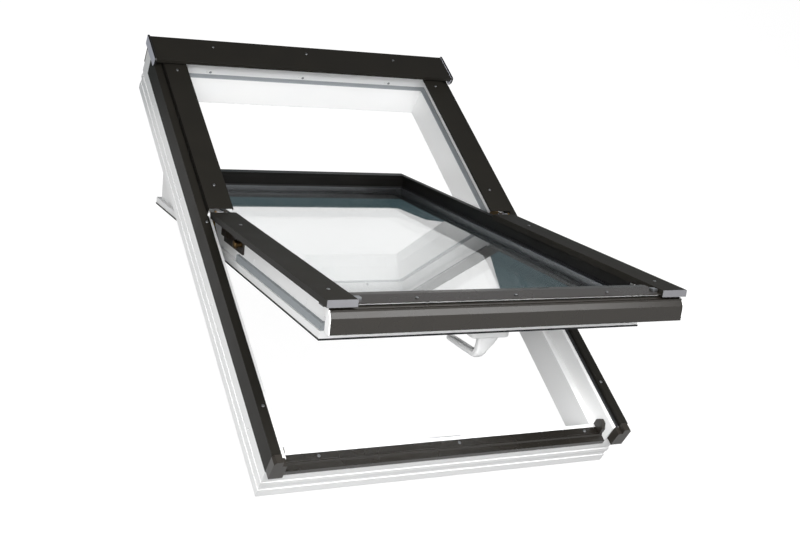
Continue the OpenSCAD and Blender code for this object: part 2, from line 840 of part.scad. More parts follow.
module sash_gaskets() {
    wide = ledge_w * 0.7;
    high = ledge_z + 14;
    color(grey) in_sash() both_sides() {
        box([sash_x, sash_low - wide, ledge_z], [sash_x + wide, pivot_y - 90 * h, high]);
        box([bolt_w / 2 + 10, sash_low - wide, ledge_z], [sash_x, sash_low, high]);
    }
}

// The room seal wraps the outer corner of the ledge
module room_seal() {
    skin = 1.2;
    color(black) in_sash() difference() {
        box([-ledge_x - skin, ledge_low - skin, room_z - skin],
            [ledge_x + skin, ledge_top + skin, room_z + 2]);
        box([-ledge_x, ledge_low, room_z], [ledge_x, ledge_top, room_z + 3]);
        box([-ledge_x + 8, ledge_low + 8, room_z - 2 * skin], [ledge_x - 8, ledge_top - 8, room_z + 3]);
    }
}

// Handle and lock

module handle_base() {
    color(white) in_sash() difference() {
        box([handle_x - base_w / 2, handle_y - base_d / 2, room_z - base_t],
            [handle_x + base_w / 2, handle_y + base_d / 2, room_z]);
        translate([handle_x, handle_y, room_z - base_t - cut])
            cylinder(r = spindle_r + fit_clear, h = base_t + 2 * cut);
    }
}

grip_z = room_z - base_t - grip_stand;
grip_x = handle_x - grip_shift;
neck_top = room_z - base_t - lever_gap;

module handle_lever() {
    color(white) in_sash() difference() {
        union() {
            translate([grip_x, handle_y, grip_z - grip_t / 2]) linear_extrude(height = grip_t) {
                circle(r = grip_w / 2);
                translate([-grip_w / 2, 0]) square([grip_w, grip_l - grip_w / 2]);
                translate([0, grip_l - grip_w / 2]) circle(r = grip_w / 2);
            }
            along_y([[grip_x - grip_w / 2, grip_z], [grip_x + grip_w / 2, grip_z],
                [handle_x + neck_w / 2, neck_top], [handle_x - neck_w / 2, neck_top]],
                handle_y - neck_d / 2, handle_y + neck_d / 2);
        }
        translate([handle_x, handle_y, grip_z + grip_stand / 2]) cylinder(r = spindle_r, h = grip_stand);
    }
}

module handle_spindle() {
    color(steel) in_sash() translate([handle_x, handle_y, grip_z + grip_stand / 2])
        cylinder(r = spindle_r, h = bolt_z - 3 - grip_z - grip_stand / 2);
}

module lock_case() {
    color(steel) in_sash() difference() {
        box([-case_x, case_y[0], case_z[0]], [case_x, case_y[1], case_z[1]]);
        box([-case_x + case_wall, case_y[0] + case_wall, case_z[0] + case_wall],
            [case_x - case_wall, case_y[1] - case_wall, case_z[1] - case_wall]);
        translate([handle_x, handle_y, case_z[0] - cut])
            cylinder(r = spindle_r + fit_clear, h = case_wall + 2 * cut);
        box([-bolt_w / 2 - fit_clear, case_y[0] - cut, bolt_z - fit_clear],
            [bolt_w / 2 + fit_clear, case_y[0] + case_wall + cut, bolt_z + bolt_t + fit_clear]);
    }
}

module latch_bolt() {
    color(steel) in_sash()
        box([-bolt_w / 2, bolt_y[0], bolt_z], [bolt_w / 2, bolt_y[1], bolt_z + bolt_t]);
}

// Room for the bolt in the sill and in its striker
module latch_slot() {
    room = 3;
    box([-bolt_w / 2 - room, bolt_y[0] - bolt_travel - room, bolt_z - room],
        [bolt_w / 2 + room, -ry + 3 * cut, bolt_z + bolt_t + room]);
}

module striker_plate() {
    color(steel) difference() {
        box([-bolt_w / 2 - 20, -ry, bolt_z - 8], [bolt_w / 2 + 20, -ry + 2, base_h - 1]);
        latch_slot();
    }
}

// Screws

module frame_screws() {
    color(umber) {
        for (p = hood_screws)
            translate([p[0], p[1], hood_top]) screw();
        for (p = sill_screws)
            translate([p[0], p[1], sill_top]) screw();
        for (x = head_screws)
            translate([x, up_y, base_h + 8]) rotate([90, 0, 0]) screw();
        both_sides() {
            for (y = cover_screw_y)
                translate([cover_screw_x, y, cover_top]) screw();
            for (y = jamb_screw_y)
                translate([jamb_screw_x, y, jamb_h + sheet_t]) screw();
        }
    }
}

module sash_screws() {
    color(umber) in_sash() {
        for (p = bead_screws)
            translate([p[0], p[1], bead_z(p[1] + head_r)]) screw();
        both_sides() for (y = sash_screw_y)
            translate([cover_screw_x, y, cover_top]) screw();
    }
}

frame_head();
frame_sill();
frame_left_jamb();
frame_right_jamb();
head_hood();
hood_end_caps();
hood_brackets();
left_jamb_cladding();
right_jamb_cladding();
left_upper_cover();
right_upper_cover();
upper_cover_brackets();
sill_cladding();
jamb_end_caps();
sill_corner_blocks();
frame_gasket();
jamb_gaskets();
left_hinge_plate();
right_hinge_plate();
hinge_pins();
striker_plate();
frame_screws();
sash_top_rail();
sash_bottom_rail();
sash_left_stile();
sash_right_stile();
outer_pane();
inner_pane();
spacer_bar();
edge_seal();
outer_glazing_gasket();
inner_glazing_gasket();
top_rail_cladding();
left_stile_cladding();
right_stile_cladding();
bottom_cladding();
bottom_fascia();
fascia_end_caps();
left_lower_cover();
right_lower_cover();
cover_end_plates();
lower_cover_brackets();
corner_clips();
sash_gaskets();
room_seal();
left_hinge_arm();
right_hinge_arm();
friction_knobs();
lock_case();
handle_base();
sash_screws();
handle_lever();
handle_spindle();
latch_bolt();
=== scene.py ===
import json
import math

import bmesh
import bpy
from mathutils import Matrix, Vector


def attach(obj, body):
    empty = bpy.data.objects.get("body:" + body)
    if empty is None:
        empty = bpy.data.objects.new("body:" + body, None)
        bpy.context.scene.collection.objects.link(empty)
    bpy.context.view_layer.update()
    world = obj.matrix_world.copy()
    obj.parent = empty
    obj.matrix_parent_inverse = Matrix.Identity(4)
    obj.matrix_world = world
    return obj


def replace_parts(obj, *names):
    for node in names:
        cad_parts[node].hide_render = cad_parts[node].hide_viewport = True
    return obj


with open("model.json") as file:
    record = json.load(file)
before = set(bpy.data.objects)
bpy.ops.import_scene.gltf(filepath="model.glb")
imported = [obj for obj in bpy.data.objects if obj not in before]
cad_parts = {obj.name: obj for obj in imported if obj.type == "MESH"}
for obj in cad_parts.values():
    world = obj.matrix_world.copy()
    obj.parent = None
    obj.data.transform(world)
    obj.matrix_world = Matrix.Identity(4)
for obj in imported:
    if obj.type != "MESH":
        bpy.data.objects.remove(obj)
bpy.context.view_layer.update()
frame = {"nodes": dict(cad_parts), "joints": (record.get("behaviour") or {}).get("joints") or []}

# Camera. It stands to the lower left of the window and above its outer face, 2.7 m away.
# A 53 mm lens on a sensor 36 mm wide gives the photograph's perspective.
camera_eye = Vector((-1.1231, -1.6771, 1.8073))
camera_aim = Vector((0.0428, -0.1121, 0.1))
camera_up = Vector((0.0140, 0.7323, 0.6808))
lens = bpy.data.cameras.new("camera")
lens.sensor_width = 36.0
lens.lens = 53.02
camera = bpy.data.objects.new("camera", lens)
looking = (camera_aim - camera_eye).normalized()
rightward = looking.cross(camera_up).normalized()
turned = Matrix((rightward, rightward.cross(looking), -looking)).transposed().to_4x4()
camera.matrix_world = Matrix.Translation(camera_eye) @ turned
bpy.context.scene.collection.objects.link(camera)
bpy.context.scene.camera = camera
bpy.context.scene.view_settings.view_transform = "Standard"

# Studio floor. A matt sheet lies clear below the swinging sash and catches its shadow.
# To the eye, to gloss and through glass it is lifted to white, but it lights nothing by that.
floor_drop = 0.43
floor_reach = 9.0
floor_lift = 0.93


def paint(hex_colour):
    parts = [int(hex_colour[i:i + 2], 16) / 255 for i in (1, 3, 5)]
    linear = [c / 12.92 if c <= 0.04045 else ((c + 0.055) / 1.055) ** 2.4 for c in parts]
    return (*linear, 1.0)


def add(tree, kind, sockets, **settings):
    node = tree.nodes.new(kind)
    for name, value in settings.items():
        setattr(node, name, value)
    for name, value in sockets.items():
        if isinstance(value, bpy.types.NodeSocket):
            tree.links.new(value, node.inputs[name])
        else:
            node.inputs[name].default_value = value
    return node


def new_material(name):
    material = bpy.data.materials.new(name)
    material.use_nodes = True
    material.node_tree.nodes.clear()
    return material, material.node_tree


def first_sight(tree):
    path = add(tree, "ShaderNodeLightPath", {}).outputs
    through = add(tree, "ShaderNodeMath", {0: path["Is Camera Ray"], 1: path["Is Transmission Ray"]},
                  operation="MAXIMUM")
    direct = add(tree, "ShaderNodeMath", {0: 1.0, 1: path["Diffuse Depth"]},
                 operation="SUBTRACT", use_clamp=True)
    return through.outputs[0], path["Is Glossy Ray"], direct.outputs[0]


sheet, tree = new_material("matt_white_sheet")
through, gloss, direct = first_sight(tree)
seen = add(tree, "ShaderNodeMath", {0: through, 1: gloss}, operation="MAXIMUM")
lift = add(tree, "ShaderNodeMath", {0: seen.outputs[0], 1: direct}, operation="MULTIPLY")
level = add(tree, "ShaderNodeMath", {0: lift.outputs[0], 1: floor_lift}, operation="MULTIPLY")
glow = add(tree, "ShaderNodeEmission", {"Color": paint("#FFFFFF"), "Strength": level.outputs[0]})
matt = add(tree, "ShaderNodeBsdfDiffuse", {"Color": paint("#6E6E6E")})
both = add(tree, "ShaderNodeAddShader", {0: matt.outputs[0], 1: glow.outputs[0]})
add(tree, "ShaderNodeOutputMaterial", {"Surface": both.outputs[0]})
floor_mesh = bpy.data.meshes.new("studio_floor")
floor_corners = [(x * floor_reach, y * floor_reach, -floor_drop) for x, y in
                 ((-1, -1), (1, -1), (1, 1), (-1, 1))]
floor_mesh.from_pydata(floor_corners, [], [(0, 1, 2, 3)])
floor_mesh.materials.append(sheet)
floor = bpy.data.objects.new("studio_floor", floor_mesh)
bpy.context.scene.collection.objects.link(floor)

# Studio room. Round the floor it is white to the eye and through glass, and a dim grey to gloss.
# To everything else it is a weak light from all sides, which softens the shadows.
studio_grey = 0.1
room_light = 0.22
world = bpy.data.worlds.new("studio")
bpy.context.scene.world = world
world.use_nodes = True
tree = world.node_tree
tree.nodes.clear()
through, gloss, direct = first_sight(tree)
grey = add(tree, "ShaderNodeMath", {0: gloss, 1: studio_grey}, operation="MULTIPLY")
shown = add(tree, "ShaderNodeMath", {0: through, 1: grey.outputs[0]}, operation="ADD")
shown = add(tree, "ShaderNodeMath", {0: shown.outputs[0], 1: direct}, operation="MULTIPLY")
mirror = add(tree, "ShaderNodeMath", {0: through, 1: gloss}, operation="MAXIMUM")
unseen = add(tree, "ShaderNodeMath", {0: 1.0, 1: mirror.outputs[0]}, operation="SUBTRACT", use_clamp=True)
lit = add(tree, "ShaderNodeMath", {0: unseen.outputs[0], 1: room_light}, operation="MULTIPLY")
level = add(tree, "ShaderNodeMath", {0: shown.outputs[0], 1: lit.outputs[0]}, operation="ADD")
sky = add(tree, "ShaderNodeBackground", {"Color": paint("#FFFFFF"), "Strength": level.outputs[0]})
add(tree, "ShaderNodeOutputWorld", {"Surface": sky.outputs[0]})

# Lamps. Four soft boxes: over the window, to its left, the key in front and a small one for the head.
# The camera doesn't see them, and they aren't seen through glass. Each has its place, its aim, the
# length of its side, its watts and whether gloss shows it.
soft_boxes = {
    "over_window": ((0.85, -0.95, 2.6), (0.0, -0.25, 0.25), 1.5, 38.0, True),
    "left_of_window": ((-2.6, -0.5, 1.0), (0.0, -0.1, 0.1), 1.6, 21.0, False),
    "front_key": ((-1.3, -1.9, 2.05), (0.0, 0.1, 0.1), 1.2, 62.0, True),
    "over_head": ((-0.2, -0.7, 1.7), (0.0, 0.55, 0.1), 0.8, 32.0, False),
}
for name, (place, target, side, watts, in_gloss) in soft_boxes.items():
    lamp = bpy.data.lights.new(name, "AREA")
    lamp.shape = "SQUARE"
    lamp.size = side
    lamp.energy = watts
    box_lamp = bpy.data.objects.new(name, lamp)
    aim = Vector(target) - Vector(place)
    box_lamp.matrix_world = Matrix.Translation(place) @ aim.to_track_quat("-Z", "Y").to_matrix().to_4x4()
    box_lamp.visible_transmission = False
    box_lamp.visible_camera = False
    box_lamp.visible_glossy = in_gloss
    bpy.context.scene.collection.objects.link(box_lamp)

# Studio cards. A dark cloth on the floor behind the window keeps much of the glass dark. Gloss sees
# it, and glass too, because reflections on the inner faces of the panes leave through the glass.
# Only gloss sees the two pale cards, which give the nose its lighter front and bead.
cloth_colour = "#3D565C"
cloth_z = 0.01 - floor_drop
cloth_left, cloth_right = -1.5, 4.5
cloth_near, cloth_fold, cloth_far = 1.0, 1.37, 3.3
cloth_edge = ((0.81, cloth_fold), (0.99, 1.5), (1.26, 1.58), (1.58, 2.02), (1.97, 2.6), (2.4, cloth_far))
left_cloth_edge = ((0.1, cloth_fold), (0.95, 2.47), (1.6, cloth_far))


def studio_card(name, colour, corners, through_glass=False):
    material, tree = new_material(name)
    shine = add(tree, "ShaderNodeEmission", {"Color": paint(colour), "Strength": 1.0})
    add(tree, "ShaderNodeOutputMaterial", {"Surface": shine.outputs[0]})
    mesh = bpy.data.meshes.new(name)
    mesh.from_pydata(corners, [], [tuple(range(len(corners)))])
    mesh.materials.append(material)
    card = bpy.data.objects.new(name, mesh)
    for kind in ("camera", "diffuse", "shadow", "volume_scatter"):
        setattr(card, "visible_" + kind, False)
    card.visible_transmission = through_glass
    bpy.context.scene.collection.objects.link(card)


cloth = [(cloth_left, cloth_near), (cloth_right, cloth_near), (cloth_right, cloth_far),
         *cloth_edge[::-1], (cloth_left, cloth_fold)]
left_cloth = [(cloth_left, cloth_fold), *left_cloth_edge, (cloth_left, cloth_far)]
for name, outline in (("dark_cloth", cloth), ("dark_cloth_left", left_cloth)):
    studio_card(name, cloth_colour, [(x, y, cloth_z) for x, y in outline], through_glass=True)
for name, colour, y, left, right, low, high in (
        ("pale_card_in_front", "#FFFFFF", -3.1, -0.2, 3.4, -0.1, 2.2),
        ("pale_card_behind", "#C4C4C8", 3.0, 0.2, 5.0, 0.25, 1.1)):
    studio_card(name, colour, [(left, y, low), (right, y, low), (right, y, high), (left, y, high)])

# Frame. Four hollow profiles of white PVC, extruded, mitred and welded at the corners.
# The die leaves faint lines along each length, drawn wider here so that they can show, and the
# satin skin is a little uneven.
MM = 0.001
MM_IN_M = 1000
ALONG_X, ALONG_Y = 0, 1
MIX_A, MIX_B, MIXED = 6, 7, 2
nodes = frame["nodes"]


def dress(material, *names):
    for name in names:
        slots = nodes[name].data.materials
        slots.clear()
        slots.append(material)


# Colour and gloss drift with the mottle. The relief is a height, its strength and its depth, and
# the ease is the radius of the edges. Depth, radius and the sizes of patterns are in millimetres.
def mottled_surface(tree, mottle, colours, gloss, relief, ease, sockets):
    height, strength, depth = relief
    dark, light = colours
    colour = add(tree, "ShaderNodeMix", {"Factor": mottle, MIX_A: paint(dark), MIX_B: paint(light)},
                 data_type="RGBA").outputs[MIXED]
    rough = add(tree, "ShaderNodeMapRange", {"Value": mottle, "To Min": gloss[0], "To Max": gloss[1]})
    bumps = {"Height": height, "Strength": strength, "Distance": depth * MM}
    if ease:
        bumps["Normal"] = add(tree, "ShaderNodeBevel", {"Radius": ease * MM}, samples=4).outputs[0]
    skin = add(tree, "ShaderNodeBump", bumps)
    surface = {"Base Color": colour, "Roughness": rough.outputs[0], "Normal": skin.outputs[0]}
    body = add(tree, "ShaderNodeBsdfPrincipled", {**surface, **sockets})
    add(tree, "ShaderNodeOutputMaterial", {"Surface": body.outputs[0]})
    return colour, body.inputs["Base Color"]


def white_pvc(name, along, tilt):
    die_line = 2.5
    line_length = 400.0
    cloud = 120.0
    material, tree = new_material(name)
    where = add(tree, "ShaderNodeTexCoord", {}).outputs["Object"]
    stretch = [MM_IN_M / die_line] * 3
    stretch[along] = MM_IN_M / line_length
    lines_at = add(tree, "ShaderNodeMapping", {"Vector": where, "Rotation": (tilt, 0, 0)})
    lines_on = add(tree, "ShaderNodeMapping", {"Vector": lines_at.outputs[0], "Scale": stretch})
    lines = add(tree, "ShaderNodeTexNoise", {"Vector": lines_on.outputs[0], "Scale": 1.0, "Detail": 2.0})
    patches = add(tree, "ShaderNodeTexNoise", {"Vector": where, "Scale": MM_IN_M / cloud})
    mottled_surface(tree, patches.outputs[0], ("#F1F1F0", "#ECEDEE"), (0.3, 0.42),
                    (lines.outputs[0], 0.06, 0.3), 0.9, {"IOR": 1.53})
    return material


dress(white_pvc("white_pvc_cross_profiles", ALONG_X, 0.0), "frame_head", "frame_sill")
dress(white_pvc("white_pvc_side_profiles", ALONG_Y, 0.0), "frame_left_jamb", "frame_right_jamb")

# Claddings of the frame. Roll-formed and folded aluminium sheet, powder coated dark umber, matt
# with a fine orange peel. The sill cladding is extruded and has a smoother satin coat.


def powder_coat(name, dark, light, rough, peel=4.0, peel_depth=0.12, shine=0.5):
    cloud = 70.0
    material, tree = new_material(name)
    where = add(tree, "ShaderNodeTexCoord", {}).outputs["Object"]
    grain = add(tree, "ShaderNodeTexNoise", {"Vector": where, "Scale": MM_IN_M / peel, "Detail": 3.0})
    patches = add(tree, "ShaderNodeTexNoise", {"Vector": where, "Scale": MM_IN_M / cloud})
    mottled_surface(tree, patches.outputs[0], (dark, light), (rough - 0.05, rough + 0.06),
                    (grain.outputs[0], peel_depth, 0.2), 1.0, {"IOR": 1.5, "Specular IOR Level": shine})
    return material


umber_coat = powder_coat("umber_powder_coated_aluminium", "#171613", "#1D1B17", 0.6, shine=0.2)
satin_coat = powder_coat("umber_satin_coated_extrusion", "#191714", "#201D19", 0.27,
                         peel=1.5, peel_depth=0.015)
dress(umber_coat, "head_hood", "left_jamb_cladding", "right_jamb_cladding", "left_upper_cover",
      "right_upper_cover")
dress(satin_coat, "sill_cladding")

# Moulded caps, blocks and brackets of the frame. Glass-filled nylon in black and umber, and hood
# end caps with a pale flat side and a black rim. A spark-eroded mould leaves a fine even grain,
# drawn coarser here so that it can show.


def moulded(name, dark, light, rough, grain_depth=0.1, rim=None):
    grain_size = 1.6
    cloud = 30.0
    material, tree = new_material(name)
    where = add(tree, "ShaderNodeTexCoord", {}).outputs["Object"]
    grain = add(tree, "ShaderNodeTexVoronoi", {"Vector": where, "Scale": MM_IN_M / grain_size})
    patches = add(tree, "ShaderNodeTexNoise", {"Vector": where, "Scale": MM_IN_M / cloud})
    colour, base_colour = mottled_surface(tree, patches.outputs[0], (dark, light),
                                          (rough - 0.06, rough + 0.06),
                                          (grain.outputs["Distance"], grain_depth, 0.2), 0.8,
                                          {"IOR": 1.52})
    if rim:
        facing = add(tree, "ShaderNodeNewGeometry", {})
        sideways = add(tree, "ShaderNodeSeparateXYZ", {0: facing.outputs["Normal"]})
        flat = add(tree, "ShaderNodeMath", {0: sideways.outputs[0]}, operation="ABSOLUTE")
        rimmed = add(tree, "ShaderNodeMix", {"Factor": flat.outputs[0], MIX_A: paint(rim), MIX_B: colour},
                     data_type="RGBA")
        tree.links.new(rimmed.outputs[MIXED], base_colour)
    return material


black_nylon = moulded("black_moulded_nylon", "#0E0E0F", "#141414", 0.45)
umber_nylon = moulded("umber_moulded_nylon", "#211E1A", "#28241F", 0.45)
hood_cap = moulded("pale_moulded_nylon_with_black_rim", "#B9BAC4", "#C2C3CC", 0.4, rim="#0B0B0C")
dress(black_nylon, "hood_brackets", "upper_cover_brackets")
dress(hood_cap, "hood_end_caps")
dress(umber_nylon, "jamb_end_caps", "sill_corner_blocks")

# Striker plate. Pressed steel, zinc plated, fixed to the inner face of the sill.
# The plating is bright and keeps the faint drag lines of the press, drawn wider here.


def plated_steel(name, dark, light, rough):
    drag_line = 1.5
    line_length = 40.0
    material, tree = new_material(name)
    where = add(tree, "ShaderNodeTexCoord", {}).outputs["Object"]
    stretch = (MM_IN_M / drag_line, MM_IN_M / line_length, MM_IN_M / drag_line)
    drawn = add(tree, "ShaderNodeMapping", {"Vector": where, "Scale": stretch})
    lines = add(tree, "ShaderNodeTexNoise", {"Vector": drawn.outputs[0], "Scale": 1.0, "Detail": 3.0})
    mottled_surface(tree, lines.outputs[0], (dark, light), (rough - 0.06, rough + 0.1),
                    (lines.outputs[0], 0.15, 0.1), 0.5, {"Metallic": 1.0})
    return material


zinc_plate = plated_steel("zinc_plated_steel", "#A9ABAF", "#C6C8CC", 0.3)
dress(zinc_plate, "striker_plate")

# Gaskets of the frame. Extruded synthetic rubber, grey round the upper half and black along the
# lower half of the jambs. The skin is matt and slightly mottled by the talc it was coiled in.


def rubber(name, dark, light):
    talc_patch = 9.0
    material, tree = new_material(name)
    where = add(tree, "ShaderNodeTexCoord", {}).outputs["Object"]
    talc = add(tree, "ShaderNodeTexNoise", {"Vector": where, "Scale": MM_IN_M / talc_patch, "Detail": 4.0})
    mottled_surface(tree, talc.outputs[0], (dark, light), (0.55, 0.75),
                    (talc.outputs[0], 0.2, 0.2), None, {"IOR": 1.52})
    return material


grey_rubber = rubber("grey_extruded_rubber", "#8D9296", "#979C9F")
black_rubber = rubber("black_extruded_rubber", "#0D0E10", "#141517")
dress(grey_rubber, "frame_gasket")
dress(black_rubber, "jamb_gaskets")

# Pivot hinges. Pressed steel plates, passivated to a bronze yellow, and black electrocoated arms
# on bright pins. The passivation is thin and uneven, so its tint drifts along each piece.
bronze_plate = plated_steel("bronze_passivated_steel", "#6B5738", "#8A7148", 0.36)
black_steel = powder_coat("black_electrocoated_steel", "#17130E", "#221B13", 0.4)
dress(bronze_plate, "left_hinge_plate", "right_hinge_plate")
dress(black_steel, "left_hinge_arm", "right_hinge_arm")
dress(zinc_plate, "hinge_pins")

# Friction knobs. Turned steel buttons with a fluted rim and a domed face, bronze passivated, one
# on each hinge arm. They set how stiffly the sash turns. Places are those of the closed sash, in
# millimetres, and the profile gives the radius and how far out it lies.
sash_joint = next(j for j in frame["joints"] if j["name"] == "sash_turn")
pivot = Vector(sash_joint["pos_m"])
open_angle = -math.radians(sash_joint["range_deg"][0])
sash_turn = Matrix.Translation(pivot) @ Matrix.Rotation(-open_angle, 4, "X") @ Matrix.Translation(-pivot)
crease = math.radians(38)
knob_middle = (334.0, -90.0, 97.0)
knob_profile = ((6.5, 0.0), (6.5, 8.5), (9.0, 9.5), (9.0, 14.4), (8.3, 16.2), (6.4, 17.3), (3.4, 17.85),
                (0.5, 18.0))
flutes = 20
flute_depth = 0.02
ring_points = 4 * flutes


def lofted(name, material, rings):
    mesh = bpy.data.meshes.new(name)
    size = len(rings[0])
    points = [sash_turn @ (Vector(p) * MM) for ring in rings for p in ring]
    faces = [tuple(range(size))[::-1], tuple(range(len(points) - size, len(points)))]
    for row in range(len(rings) - 1):
        for k in range(size):
            near, far = row * size + k, row * size + (k + 1) % size
            faces.append((near, far, far + size, near + size))
    mesh.from_pydata(points, [], faces)
    shape = bmesh.new()
    shape.from_mesh(mesh)
    bmesh.ops.recalc_face_normals(shape, faces=shape.faces)
    for edge in shape.edges:
        edge.smooth = edge.calc_face_angle(0.0) < crease
    for face in shape.faces:
        face.smooth = True
    shape.to_mesh(mesh)
    shape.free()
    mesh.materials.append(material)
    piece = bpy.data.objects.new(name, mesh)
    bpy.context.scene.collection.objects.link(piece)
    return piece


dark_bronze = plated_steel("dark_bronze_passivated_steel", "#4A3B26", "#5E4B30", 0.3)
knobs = []
for side in (1, -1):
    rings = []
    for radius, out in knob_profile:
        ring = []
        for k in range(ring_points):
            a = 2 * math.pi * k / ring_points
            reach = radius * (1 - flute_depth * (1 + math.cos(flutes * a)))
            ring.append((side * (knob_middle[0] + out), knob_middle[1] + reach * math.cos(a),
                         knob_middle[2] + reach * math.sin(a)))
        rings.append(ring)
    knobs.append(lofted("friction_knob", dark_bronze, rings))
both = bmesh.new()
for knob in knobs:
    both.from_mesh(knob.data)
both.to_mesh(knobs[0].data)
both.free()
bpy.data.objects.remove(knobs[1])
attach(knobs[0], "sash")
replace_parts(knobs[0], "friction_knobs")

# Screws. Self-tapping zinc plated steel screws with pan heads and a cross recess. They hold the
# claddings and covers, and every CAD screw's head is taken to face up or, on the sash, out of it.
# Three more stand in the inner face of the head and face down the window.
screw_head_r = 3.5 * MM
screw_head_t = 1.2 * MM
screw_shank_r = 1.6 * MM
screw_shank_l = 9.0 * MM
same_point = 0.001 * MM
face_screw_middle = (10.0, 561.0, 82.0)
face_screw_pitch = 243.0


def loose_solids(node):
    mesh = bmesh.new()
    mesh.from_mesh(nodes[node].data)
    bmesh.ops.remove_doubles(mesh, verts=mesh.verts, dist=same_point)
    left = set(mesh.verts)
    while left:
        island = {left.pop()}
        rim = list(island)
        while rim:
            vert = rim.pop()
            near = {e.other_vert(vert) for e in vert.link_edges} & left
            left -= near
            island |= near
            rim.extend(near)
        yield [v.co.copy() for v in island]
    mesh.free()


def head_places(node, turn):
    places = []
    for points in loose_solids(node):
        flat = [turn.inverted() @ p for p in points]
        low = Vector([min(p[i] for p in flat) for i in range(3)])
        high = Vector([max(p[i] for p in flat) for i in range(3)])
        middle = (low + high) / 2
        places.append(turn @ Vector((middle.x, middle.y, high.z - screw_head_t)))
    return sorted(places, key=lambda p: tuple(p))


def pan_head_screws():
    shoulder_share = 0.72
    crown_share = 0.96
    slot_width_share = 0.26
    slot_depth_share = 1.4
    head_sides, shank_sides = 28, 16
    tree = bpy.data.node_groups.new("pan_head_screws", "GeometryNodeTree")
    plan = tree.interface
    plan.new_socket("Places", in_out="INPUT", socket_type="NodeSocketGeometry")
    for name, size in (("Head radius", screw_head_r), ("Head height", screw_head_t),
                       ("Shank radius", screw_shank_r), ("Shank length", screw_shank_l)):
        plan.new_socket(name, in_out="INPUT", socket_type="NodeSocketFloat").default_value = size
    plan.new_socket("Facing", in_out="INPUT", socket_type="NodeSocketVector")
    plan.new_socket("Finish", in_out="INPUT", socket_type="NodeSocketMaterial")
    plan.new_socket("Screws", in_out="OUTPUT", socket_type="NodeSocketGeometry")
    given = add(tree, "NodeGroupInput", {}).outputs
    head_r, head_t = given["Head radius"], given["Head height"]
    shoulder = add(tree, "ShaderNodeMath", {0: head_r, 1: shoulder_share}, operation="MULTIPLY")
    crown = add(tree, "ShaderNodeMath", {0: head_t, 1: crown_share}, operation="MULTIPLY")
    head = add(tree, "GeometryNodeMeshCone", {"Vertices": head_sides, "Radius Top": shoulder.outputs[0],
                                              "Radius Bottom": head_r, "Depth": crown.outputs[0]})
    cut = add(tree, "GeometryNodeMeshBoolean", {"Mesh 1": head.outputs[0]}, operation="DIFFERENCE")
    slot_w = add(tree, "ShaderNodeMath", {0: head_r, 1: slot_width_share}, operation="MULTIPLY").outputs[0]
    slot_d = add(tree, "ShaderNodeMath", {0: head_t, 1: slot_depth_share}, operation="MULTIPLY").outputs[0]
    lift = add(tree, "ShaderNodeCombineXYZ", {2: head_t}).outputs[0]
    for across, along in ((slot_w, head_r), (head_r, slot_w)):
        size = add(tree, "ShaderNodeCombineXYZ", {0: across, 1: along, 2: slot_d})
        bit = add(tree, "GeometryNodeMeshCube", {"Size": size.outputs[0]})
        bit = add(tree, "GeometryNodeTransform", {"Geometry": bit.outputs[0], "Translation": lift})
        tree.links.new(bit.outputs[0], cut.inputs["Mesh 2"])
    shank = add(tree, "GeometryNodeMeshCylinder", {"Vertices": shank_sides, "Radius": given["Shank radius"],
                                                   "Depth": given["Shank length"]})
    half = add(tree, "ShaderNodeMath", {0: given["Shank length"], 1: -0.5}, operation="MULTIPLY")
    sink = add(tree, "ShaderNodeCombineXYZ", {2: half.outputs[0]})
    sunk = add(tree, "GeometryNodeTransform", {"Geometry": shank.outputs[0],
                                               "Translation": sink.outputs[0]})
    whole = add(tree, "GeometryNodeJoinGeometry", {})
    tree.links.new(cut.outputs["Mesh"], whole.inputs[0])
    tree.links.new(sunk.outputs[0], whole.inputs[0])
    placed = add(tree, "GeometryNodeInstanceOnPoints", {"Points": given["Places"],
                                                        "Instance": whole.outputs[0],
                                                        "Rotation": given["Facing"]})
    solid = add(tree, "GeometryNodeRealizeInstances", {"Geometry": placed.outputs[0]})
    painted = add(tree, "GeometryNodeSetMaterial", {"Geometry": solid.outputs[0],
                                                    "Material": given["Finish"]})
    add(tree, "NodeGroupOutput", {0: painted.outputs[0]})
    return tree


def plain_piece(carrier, name):
    bpy.context.view_layer.update()
    ready = carrier.evaluated_get(bpy.context.evaluated_depsgraph_get())
    mesh = bpy.data.meshes.new_from_object(ready)
    bpy.data.objects.remove(carrier)
    piece = bpy.data.objects.new(name, mesh)
    bpy.context.scene.collection.objects.link(piece)
    return piece


screw_tree = pan_head_screws()
screw_zinc = plated_steel("zinc_plated_screw", "#8C8D90", "#A6A8AB", 0.4)


def driven_screws(name, places, turn, body):
    points = bpy.data.meshes.new(name + "_places")
    points.from_pydata(places, [], [])
    carrier = bpy.data.objects.new(name + "_carrier", points)
    bpy.context.scene.collection.objects.link(carrier)
    modifier = carrier.modifiers.new("screws", "NODES")
    modifier.node_group = screw_tree
    inputs = {s.name: s.identifier for s in screw_tree.interface.items_tree if s.in_out == "INPUT"}
    modifier[inputs["Facing"]] = turn.to_euler()
    modifier[inputs["Finish"]] = screw_zinc
    screws = plain_piece(carrier, name)
    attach(screws, body)
    return screws


for node, body, turn in (("frame_screws", "frame", Matrix.Identity(4)), ("sash_screws", "sash", sash_turn)):
    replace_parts(driven_screws(node + "_pan_heads", head_places(node, turn), turn, body), node)
face_places = [Vector(face_screw_middle) + Vector((face_screw_pitch * k, 0, 0)) for k in (-1, 0, 1)]
face_turn = Matrix.Rotation(math.pi / 2, 4, "X")
driven_screws("head_face_screws", [p * MM for p in face_places], face_turn, "frame")

# Sash. Four hollow profiles of the same white PVC, welded into the frame that carries the glass.
# Stiles run up the slope, so their die lines lie along the tilted sash.
dress(white_pvc("white_pvc_sash_rails", ALONG_X, open_angle), "sash_top_rail", "sash_bottom_rail")
dress(white_pvc("white_pvc_sash_stiles", ALONG_Y, open_angle), "sash_left_stile", "sash_right_stile")

